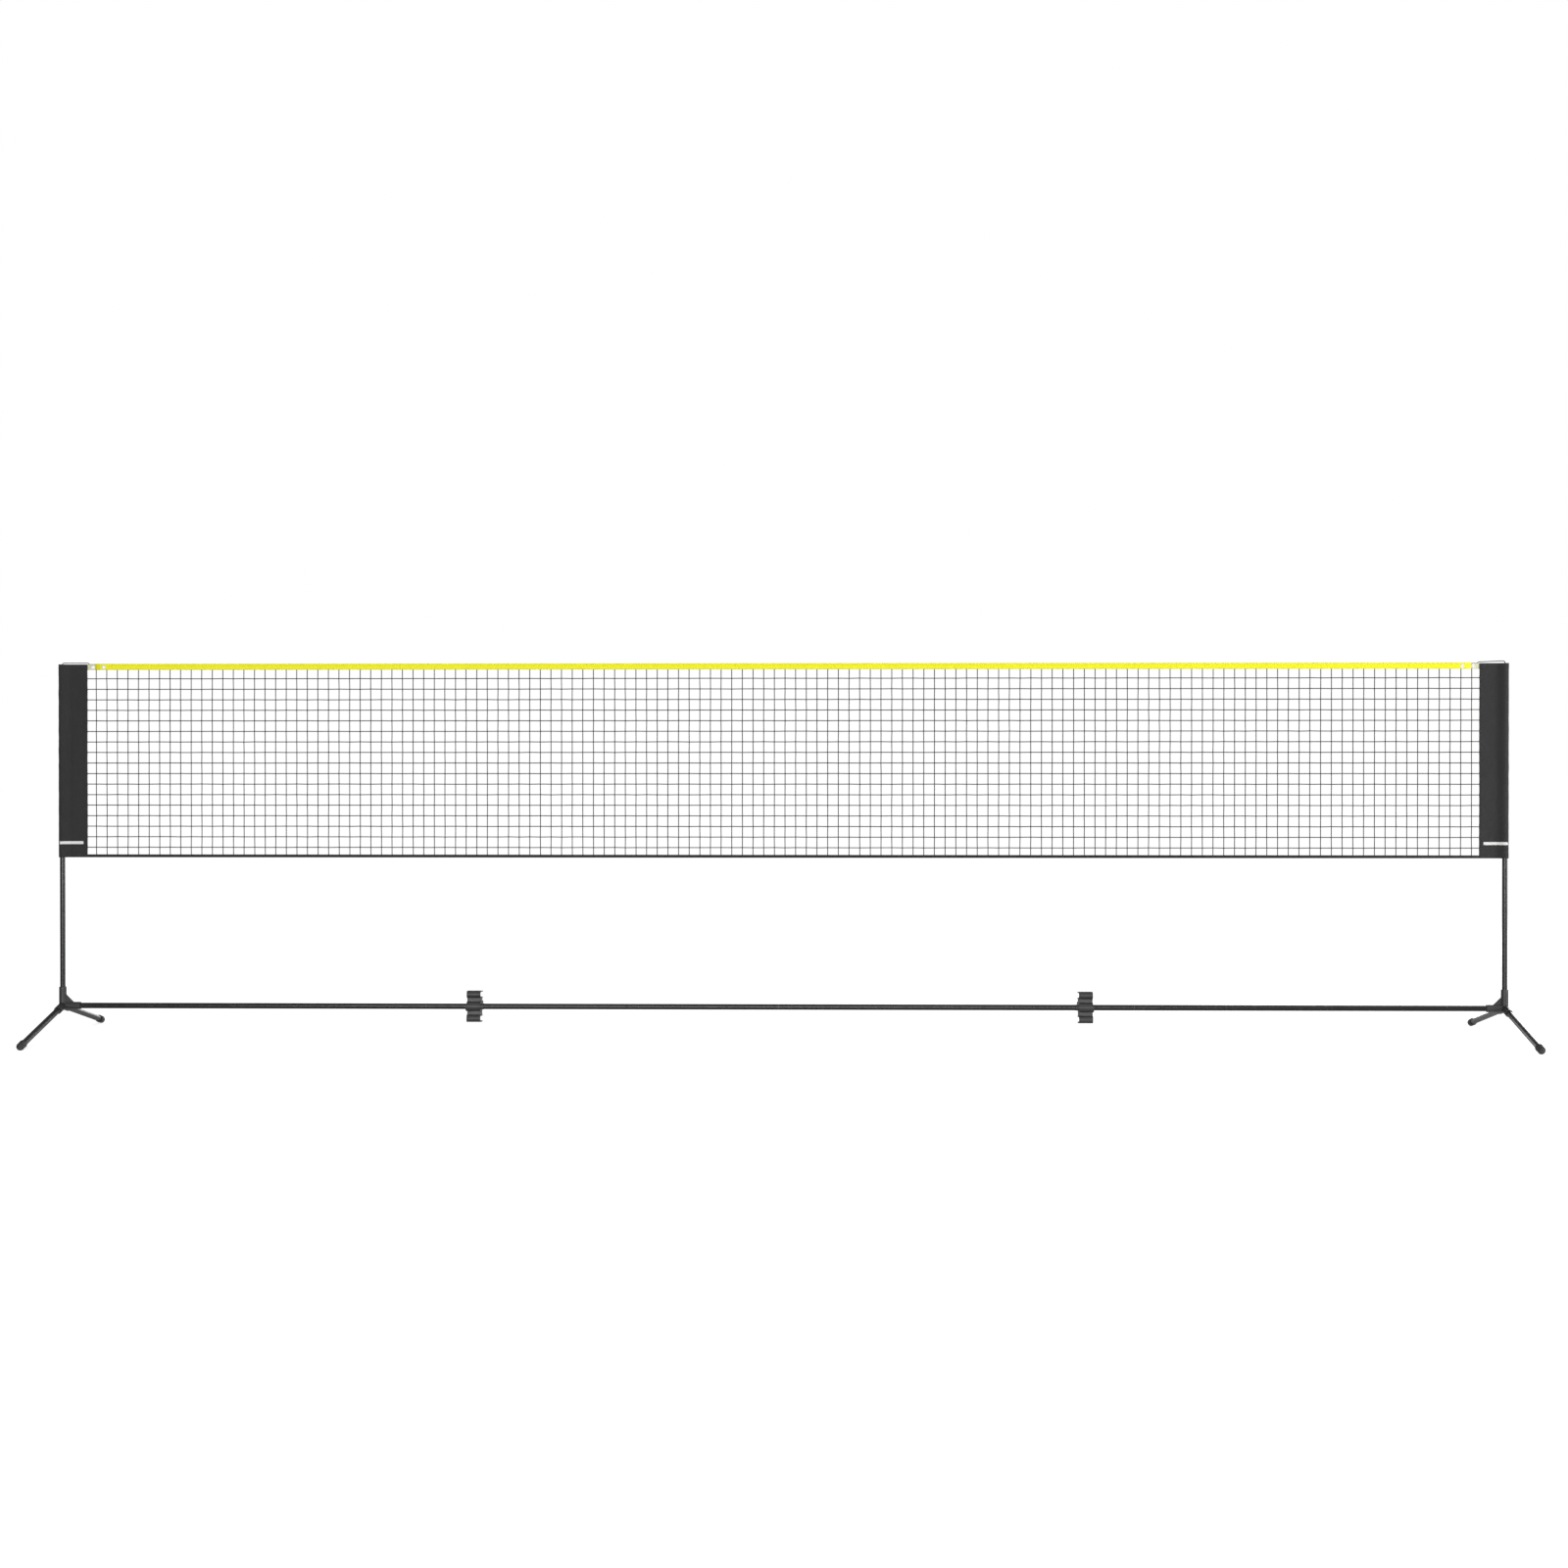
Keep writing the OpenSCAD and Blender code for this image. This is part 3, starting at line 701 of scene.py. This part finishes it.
def build_tapes():
    """The yellow head tape with its eyelets' holes and stitches, then the foot tape and the two tabs."""
    spots = [side * (POST_X - EYELET_X - EYELET_PITCH) for side in (LEFT, RIGHT)]
    holes = [(x, EYELET_Z) for x in spots]
    xs = stations(TAPE_LOW.x, TAPE_HIGH.x, TAPE_STEP, spots, EYELET_NEAR, EYELET_STEP)
    profile = fold_profile()
    tape = strip("yellow_tape", YELLOW_CLOTH, profile, xs, LAYER_T, holes)
    mount(tape, "tape_yellow", "head_tape")
    thread = Builder()
    for z in (TAPE_LOW.z + EDGE_ROW, CORD_ROW_Z):
        level_stitches(thread, TAPE_LOW.x, TAPE_HIGH.x, z, holes=holes)
    rows = mount(thread.make("yellow_tape_stitches", YELLOW_THREAD), "tape_yellow")
    build_hem()
    for side in (LEFT, RIGHT):
        build_tab(side)


def build_hem():
    """The foot tape, folded under the net's lowest edge."""
    front = [(-FLAT_Y, z) for z in np.linspace(HEM_HIGH.z, HEM_LOW.z + FLAT_Y, 6)]
    profile = folded_under(front, HEM_LOW.z)
    xs = stations(HEM_LOW.x, HEM_HIGH.x, TAPE_STEP)
    hem = mount(strip("foot_hem", HEM_CLOTH, profile, xs, -LAYER_T), "hem_black", "foot_tape")
    thread = Builder()
    level_stitches(thread, HEM_LOW.x, HEM_HIGH.x, HEM_HIGH.z - HEM_ROW)
    rows = mount(thread.make("foot_hem_stitches", BLACK_THREAD), "hem_black")


def build_tab(side):
    """The pale end of the head tape beside a sleeve, open on top where the tie cord leaves it."""
    low, high = sorted((side * (POST_X - SLEEVE_IN - SEAM_GAP), side * (TAPE_HIGH.x + SEAM_GAP)))
    hole = (side * (POST_X - EYELET_X), EYELET_Z)
    front = [(-TAB_FOLD_R, CHANNEL_Z)]
    for t in (0.75, 0.5, 0.25):
        front.append((-FLAT_Y - (TAB_FOLD_R - FLAT_Y) * smooth(t), CHANNEL_Z - NECK * (1 - t)))
    front += [(-FLAT_Y, z) for z in np.linspace(CHANNEL_Z - NECK, TAPE_LOW.z + FLAT_Y, 11)]
    profile = folded_under(front, TAPE_LOW.z)
    xs = stations(low, high, TAB_STEP)
    name = SIDE_NAMES[side] + "_tape_tab"
    tab = mount(strip(name, CREAM_CLOTH, profile, xs, -LAYER_T, [hole]), "tape_cream", "tape_tabs")
    thread = Builder()
    for z in (TAPE_LOW.z + EDGE_ROW, CORD_ROW_Z):
        level_stitches(thread, low, high, z, TAB_STITCH_PITCH, [hole])
    rows = mount(thread.make(name + "_stitches", YELLOW_THREAD), "tape_cream")


# The sleeves round the posts

SLEEVE_T = 0.0006
FLAP_Y = 0.0009
JOIN_X = 0.036
POCKET_MID = POCKET_R - SLEEVE_T / 2
HEM_BAND = 0.019
HEM_STEP = 0.00035
HEM_ROUND = 0.0012
# Mesh rows: heights from a sleeve's end over its hem band, then even ones between the two bands
HEM_MARKS = np.array((0.0, 0.001, 0.007, 0.013, 0.0185, 0.0196, 0.0206, 0.0245))
EVEN_START = 0.03
EVEN_ROWS = 88
CREASES = 9
CREASE_DEPTH = 0.0003
# The inner edge sways front and back and draws in between two level cords, each growing in from START
SWAY, SWAY_PITCH, SWAY_START, SWAY_GROW = 0.0012, 0.47, 0.02, 0.06
SLACK, SLACK_START, SLACK_GROW = 0.0007, 0.075, 0.03
SLEEVE_Z0, SLEEVE_Z1 = SLEEVE_LOW.z, SLEEVE_HIGH.z
# Seams down the sleeve: where its two sides meet beside the post, and two near its inner edge
SEAMS_X = (JOIN_X, SLEEVE_IN - 0.004, SLEEVE_IN - 0.011)
SEAM_INSET = 0.002
SEAM_POINTS, HEM_POINTS = 200, 120
SLEEVE_THREAD_R = 0.0004
# The label runs from past the post's middle to near the sleeve's inner edge
LABEL_X0, LABEL_X1 = -0.008, 0.09
LABEL_Z, LABEL_H, LABEL_T = 0.819, 0.0125, 0.0004
LABEL_LIFT = SLEEVE_T / 2 + 0.0003
LABEL_INSET = 0.0012
LABEL_STITCH_PITCH = 0.003


def sleeve_plan():
    """The cloth's middle line in plan, from its front edge round the post: x inwards, y back."""
    front = [(x, -FLAP_Y) for x in np.linspace(SLEEVE_IN, JOIN_X, 22)]
    for x in np.linspace(JOIN_X, 0, 15)[1:]:
        front.append((x, -FLAP_Y - (POCKET_MID - FLAP_Y) * smooth(1 - x / JOIN_X)))
    arc = [(-POCKET_MID * math.sin(a), -POCKET_MID * math.cos(a)) for a in np.linspace(0, math.pi, 25)[1:-1]]
    return np.array(front + arc + [(x, -y) for x, y in front[::-1]])


PLAN = sleeve_plan()
PLAN_S = lengths(PLAN)
PLAN_TANGENT = np.gradient(PLAN, PLAN_S, axis=0)
PLAN_TANGENT /= np.linalg.norm(PLAN_TANGENT, axis=1, keepdims=True)
PLAN_OUT = np.stack([-PLAN_TANGENT[:, 1], PLAN_TANGENT[:, 0]], axis=1)


def creases(side, s, z):
    """Soft pulls across the cloth, as the taut net makes them, nowhere inwards."""
    rng = np.random.default_rng(20 + side)
    total = 0
    for _ in range(CREASES):
        pitch, slant = rng.uniform(0.03, 0.15), rng.uniform(-0.5, 0.5)
        phase, size = rng.uniform(0, TURN), rng.uniform(0.3, 1.0)
        wave = 0.5 + 0.5 * np.sin(TURN * (z + slant * s) / pitch + phase)
        total = total + size * wave**2
    return CREASE_DEPTH * total


def sleeve_point(side, s, z, lift=0.0):
    """Places on the cloth's middle, given how far round the plan and how high, raised off it by lift."""
    s, z = np.broadcast_arrays(np.asarray(s, float), np.asarray(z, float))
    x, y = (np.interp(s, PLAN_S, PLAN[:, k]) for k in (0, 1))
    out_x, out_y = (np.interp(s, PLAN_S, PLAN_OUT[:, k]) for k in (0, 1))
    from_end = np.minimum(z - SLEEVE_Z0, SLEEVE_Z1 - z)
    band = HEM_STEP * (1 - smooth((from_end - HEM_BAND) / HEM_ROUND))
    out = lift + creases(side, s, z) + band
    wave = np.sin(TURN * (z - SLEEVE_Z0) / SWAY_PITCH + side)
    sway = SWAY * smooth((x - SWAY_START) / SWAY_GROW) * wave
    between_levels = np.abs(np.sin(math.pi * (z - BOTTOM_LEVEL_Z) / LEVEL_PITCH))
    slack = SLACK * smooth((x - SLACK_START) / SLACK_GROW) * between_levels
    x = x + out_x * out - slack
    y = y + out_y * out + sway
    return np.stack([side * (POST_X - x), y, z], axis=-1)


def cloth_stitches(builder, side, s, z, pitch=STITCH_PITCH):
    """Stitches along a line on a sleeve, given as places round its plan and heights."""
    line = sleeve_point(side, s, z, SLEEVE_T / 2)
    run = lengths(line)
    at = np.arange(pitch, run[-1] - pitch, pitch)
    s_at, z_at = np.interp(at, run, s), np.interp(at, run, z)
    places = sleeve_point(side, s_at, z_at, SLEEVE_T / 2)
    out = sleeve_point(side, s_at, z_at, SLEEVE_T / 2 + 0.001) - places
    out /= np.linalg.norm(out, axis=1, keepdims=True)
    along = np.gradient(places, axis=0)
    along /= np.linalg.norm(along, axis=1, keepdims=True)
    stitches(builder, places, along, out, pitch * 0.78, SLEEVE_THREAD_R)


def plan_at(x, front):
    """How far round the plan the front or back cloth is at that x."""
    half = len(PLAN) // 2
    if front:
        return float(np.interp(-x, -PLAN[:half, 0], PLAN_S[:half]))
    return float(np.interp(x, PLAN[half:, 0], PLAN_S[half:]))


def build_sleeve(side):
    """The cloth of one sleeve, its seams and its label."""
    name = SIDE_NAMES[side] + "_sleeve"
    steps = np.linspace(SLEEVE_Z0 + EVEN_START, SLEEVE_Z1 - EVEN_START, EVEN_ROWS)
    rows = np.concatenate([SLEEVE_Z0 + HEM_MARKS, steps, (SLEEVE_Z1 - HEM_MARKS)[::-1]])
    builder = Builder()
    builder.grid(sleeve_point(side, PLAN_S[None], rows[:, None]), PLAN_S, rows, flip=side == RIGHT)
    cloth = thicken(mount(builder.make(name + "_cloth", SLEEVE_CLOTH), "sleeve_cloth", name), SLEEVE_T, 0)
    thread = Builder()
    heights = np.linspace(SLEEVE_Z0 + SEAM_INSET, SLEEVE_Z1 - SEAM_INSET, SEAM_POINTS)
    for x in SEAMS_X:
        for front in (True, False):
            cloth_stitches(thread, side, np.full(SEAM_POINTS, plan_at(x, front)), heights)
    around = np.linspace(PLAN_S[1] * 0.5, PLAN_S[-1] - PLAN_S[1] * 0.5, HEM_POINTS)
    for z in (SLEEVE_Z0 + HEM_BAND - EDGE_ROW, SLEEVE_Z1 - HEM_BAND + EDGE_ROW):
        cloth_stitches(thread, side, around, np.full(HEM_POINTS, z))
    seams = mount(thread.make(name + "_stitches", BLACK_THREAD), "sleeve_cloth")
    label, label_rows = build_label(side)


def build_label(side):
    """A blank woven label sewn across the sleeve's foot."""
    name = SIDE_NAMES[side] + "_sleeve_label"
    past_post = math.asin(-LABEL_X0 / POCKET_MID) * POCKET_MID
    s = np.linspace(plan_at(LABEL_X1, True), plan_at(0.0, True) + past_post, 40)
    z = np.linspace(LABEL_Z - LABEL_H / 2, LABEL_Z + LABEL_H / 2, 7)
    builder = Builder()
    builder.grid(sleeve_point(side, s[None], z[:, None], LABEL_LIFT), s, z, flip=side == RIGHT)
    label = thicken(mount(builder.make(name, LABEL_CLOTH), "eyelet_white"), LABEL_T, 0)
    thread = Builder()
    for height in (z[0] + LABEL_INSET, z[-1] - LABEL_INSET):
        cloth_stitches(thread, side, s, np.full(len(s), height), LABEL_STITCH_PITCH)
    rows = mount(thread.make(name + "_stitches", LABEL_CLOTH), "eyelet_white")
    for vertex in rows.data.vertices:
        vertex.co.y -= LABEL_T
    return label, rows


# The tie cords from the post caps to the head tape

TIE_BEND = 0.008
BEND_POINTS = 12
ROUTE_STEP = 0.0007
BRAID_STRANDS = 4
BRAID_PITCH = 0.011
BRAID_SIDES = 24
BRAID_RIDGE = 0.14
# The route, as x from the post: up from inside its cap, over to the tape and down into the tape's channel
CAP_DEPTH = 0.009
OVER_X, INTO_X, TIE_END = 0.1107, 0.1155, POST_X - TAPE_HIGH.x
# How far inwards the upright part leans at its top, and how far the level part falls to its inner end
TIE_LEAN = {LEFT: 0.0, RIGHT: 0.001}
TIE_FALL = {LEFT: 0.0, RIGHT: 0.0042}


def rounded(points, radius):
    """A line through points with its corners turned on arcs of that radius, finely spaced."""
    points = [np.array(p, float) for p in points]
    line = [points[0]]
    for before, corner, after in zip(points, points[1:], points[2:], strict=False):
        a, b = (v / np.linalg.norm(v) for v in (before - corner, after - corner))
        half = math.acos(max(-1.0, min(1.0, float(a @ b)))) / 2
        reach = radius / math.tan(half)
        centre = corner + (a + b) / np.linalg.norm(a + b) * radius / math.sin(half)
        start, end = corner + a * reach - centre, corner + b * reach - centre
        sweep = math.pi - 2 * half
        for t in np.linspace(0, 1, BEND_POINTS):
            mixed = math.sin((1 - t) * sweep) * start + math.sin(t * sweep) * end
            line.append(centre + mixed / math.sin(sweep))
    line.append(points[-1])
    line = np.array(line)
    run = lengths(line)
    at = np.linspace(0, run[-1], int(run[-1] / ROUTE_STEP))
    return np.stack([np.interp(at, run, line[:, k]) for k in (0, 1)], axis=1)


def build_tie(side):
    """A braided cord up out of the post's cap, across the sleeve's top edge and down into the head tape."""
    name = SIDE_NAMES[side] + "_tie_cord"
    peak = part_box(name)[1].z - CORD_R
    cap_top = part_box(SIDE_NAMES[side] + "_post_cap")[1].z
    route = [
        (0, cap_top - CAP_DEPTH),
        (TIE_LEAN[side], peak),
        (OVER_X, peak - TIE_FALL[side]),
        (INTO_X, CHANNEL_Z),
        (TIE_END, CHANNEL_Z),
    ]
    flat = rounded(route, TIE_BEND)
    line = np.stack([side * (POST_X - flat[:, 0]), np.zeros(len(flat)), flat[:, 1]], axis=1)
    run = lengths(line)
    tangent = np.gradient(line, run, axis=0)
    tangent /= np.linalg.norm(tangent, axis=1, keepdims=True)
    across = np.cross(BACKWARDS, tangent)
    cos, sin = circle(BRAID_SIDES)
    angle = TURN * np.arange(BRAID_SIDES) / BRAID_SIDES
    wind = TURN * run[:, None] / BRAID_PITCH
    one_way = np.cos(BRAID_STRANDS * angle / 2 + wind) ** 2
    other_way = np.cos(BRAID_STRANDS * angle / 2 - wind) ** 2
    radius = CORD_R * (1 - BRAID_RIDGE + BRAID_RIDGE * np.maximum(one_way, other_way))
    ring = cos[None, :, None] * across[:, None] + sin[None, :, None] * BACKWARDS
    rings = line[:, None] + radius[:, :, None] * ring
    builder = Builder()
    builder.tube(rings, run)
    cord = mount(builder.make(name + "_braid", BRAID), "braid_black", name)


# Floor, light and camera

FLOOR_REACH = 120
FLOOR_Z = -0.0005
NEAR, FAR = 5.0, 9.0
NEAR_GLOW = 0.7
FAR_FILL = 0.4
WORLD_FILL = 0.18
WHITE = (1, 1, 1, 1)
BLACK = (0, 0, 0, 1)


def floor():
    """Lit near the net, and far off an even white that no light burns out."""
    builder = Builder()
    marks = np.linspace(-FLOOR_REACH, FLOOR_REACH, 25)
    x, y = np.meshgrid(marks, marks)
    builder.grid(np.stack([x, y, np.full_like(x, FLOOR_Z)], axis=2), marks, marks)
    mat, tree, shader = started("pale_floor")
    place = node(tree, "TexCoord").outputs["Object"]
    paint = ramp(tree, noise(tree, place, 0.6, detail=4.0), (0.9, 0.9, 0.9), (0.93, 0.93, 0.93))
    reach = node(tree, "VectorMath", {0: place}, operation="LENGTH").outputs["Value"]
    far = node(tree, "MapRange", {"Value": reach, "From Min": NEAR, "From Max": FAR}).outputs["Result"]
    tree.links.new(blend_colour(tree, far, paint, BLACK), shader.inputs["Base Color"])
    shader.inputs["Roughness"].default_value = 0.9
    shader.inputs["Specular IOR Level"].default_value = 0.1
    shader.inputs["Emission Color"].default_value = WHITE
    seen = node(tree, "LightPath").outputs["Is Camera Ray"]
    strength = spread(tree, seen, calc(tree, "MULTIPLY", far, FAR_FILL), spread(tree, far, NEAR_GLOW, 1.0))
    tree.links.new(strength, shader.inputs["Emission Strength"])
    builder.make("floor", mat)


def world():
    """White where it is seen, and a softer white as light."""
    made = bpy.data.worlds.new("studio")
    bpy.context.scene.world = made
    made.use_nodes = True
    tree = made.node_tree
    back = tree.nodes["Background"]
    seen = node(tree, "LightPath").outputs["Is Camera Ray"]
    back.inputs["Color"].default_value = WHITE
    tree.links.new(spread(tree, seen, WORLD_FILL, 1.0), back.inputs["Strength"])


# Name, place, what it points at, width, height and power
SOFTBOXES = (
    ("front_softbox", (-1.0, -13.0, 1.3), (0, 0, 0.8), 8.0, 2.5, 760.0),
    ("right_softbox", (9.5, -3.0, 1.8), (0, 0, 0.6), 4.0, 3.0, 380.0),
    ("back_softbox", (5.5, 9.0, 2.2), (0, 0, 0.5), 5.0, 3.5, 350.0),
    ("left_back_softbox", (-1.9, 9.0, 1.9), (-3.0, 0, 0.1), 4.6, 3.2, 90.0),
)
SUN_POWER, SUN_SPREAD, SUN_TILT = 0.6, 50, (25, 8, 0)


def softbox(name, place, target, width, height, power):
    """An area light that faces target and isn't seen itself."""
    light = bpy.data.lights.new(name, "AREA")
    light.shape = "RECTANGLE"
    light.size, light.size_y, light.energy = width, height, power
    obj = placed(name, light)
    obj.location = place
    obj.rotation_euler = (Vector(target) - Vector(place)).to_track_quat("-Z", "Y").to_euler()
    obj.visible_camera = False


def lights():
    for row in SOFTBOXES:
        softbox(*row)
    sun = bpy.data.lights.new("overhead", "SUN")
    sun.energy, sun.angle = SUN_POWER, math.radians(SUN_SPREAD)
    placed("overhead", sun).rotation_euler = [math.radians(angle) for angle in SUN_TILT]


CAMERA_PLACE = (0.251, -10.304, 1.126)
CAMERA_DOWN, CAMERA_LEFT = 0.325, 1.278
LENS_MM, SENSOR_MM = 56.25, 36.0
VIEW_DEPTH = 400.0


def camera():
    data = bpy.data.cameras.new("camera")
    data.lens, data.sensor_width = LENS_MM, SENSOR_MM
    data.clip_end = VIEW_DEPTH
    obj = placed("camera", data)
    obj.location = CAMERA_PLACE
    obj.rotation_euler = (math.radians(90 - CAMERA_DOWN), 0, math.radians(CAMERA_LEFT))
    bpy.context.scene.camera = obj


camera()
for side in (LEFT, RIGHT):
    build_tie(side)
paint_frame()
build_net()
build_tapes()
for side in (LEFT, RIGHT):
    build_sleeve(side)
floor()
world()
lights()
bpy.context.scene.view_settings.view_transform = "Standard"
